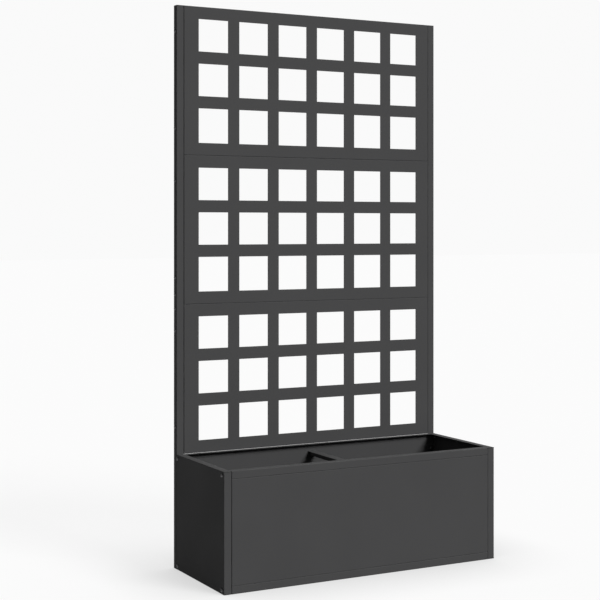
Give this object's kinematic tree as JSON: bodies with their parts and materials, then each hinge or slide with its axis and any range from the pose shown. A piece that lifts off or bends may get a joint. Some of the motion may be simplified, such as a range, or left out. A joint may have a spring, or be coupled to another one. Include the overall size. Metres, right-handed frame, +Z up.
{
  "type": "planter with trellis",
  "caption": "Free-standing rectangular trough planter of folded sheet steel with a tall flat trellis of square windows rising from its back edge.",
  "frame": {"origin": "on the floor, under the centre of the whole object's box", "axes": "+X along the trough, +Y to the back where the trellis stands, +Z up"},
  "size_m": [0.9864, 0.38, 1.8],
  "materials": {
    "powder_coat": "smooth matt powder coat, charcoal",
    "zinc_plate": "zinc plated, dull and finely mottled",
    "screw_steel": "satin, darkened"
  },
  "bodies": {
    "root": {"back_panel": "powder_coat", "cross_tie": "powder_coat", "floor_bearer_left": "zinc_plate", "floor_bearer_middle": "zinc_plate", "floor_bearer_right": "zinc_plate", "floor_panel": "powder_coat", "front_bottom_rail": "powder_coat", "front_panel": "powder_coat", "front_rivets": "powder_coat", "front_top_rail": "powder_coat", "left_side_panel": "powder_coat", "left_splice_angle": "powder_coat", "left_splice_screws": "screw_steel", "left_trellis_screws": "screw_steel", "left_trough_screws": "screw_steel", "left_upright_lower": "powder_coat", "left_upright_upper": "powder_coat", "rear_bolts": "screw_steel", "rear_nuts": "zinc_plate", "right_side_panel": "powder_coat", "right_splice_angle": "powder_coat", "right_splice_screws": "screw_steel", "right_trellis_screws": "screw_steel", "right_trough_screws": "screw_steel", "right_upright_lower": "powder_coat", "right_upright_upper": "powder_coat", "seam_bolts": "screw_steel", "seam_nuts": "zinc_plate", "splice_nuts": "zinc_plate", "tie_bolts": "screw_steel", "tie_nuts": "zinc_plate", "trellis_nuts": "zinc_plate", "trellis_panel_lower": "powder_coat", "trellis_panel_middle": "powder_coat", "trellis_panel_upper": "powder_coat", "trough_nuts": "zinc_plate"}
  },
  "joints": []
}
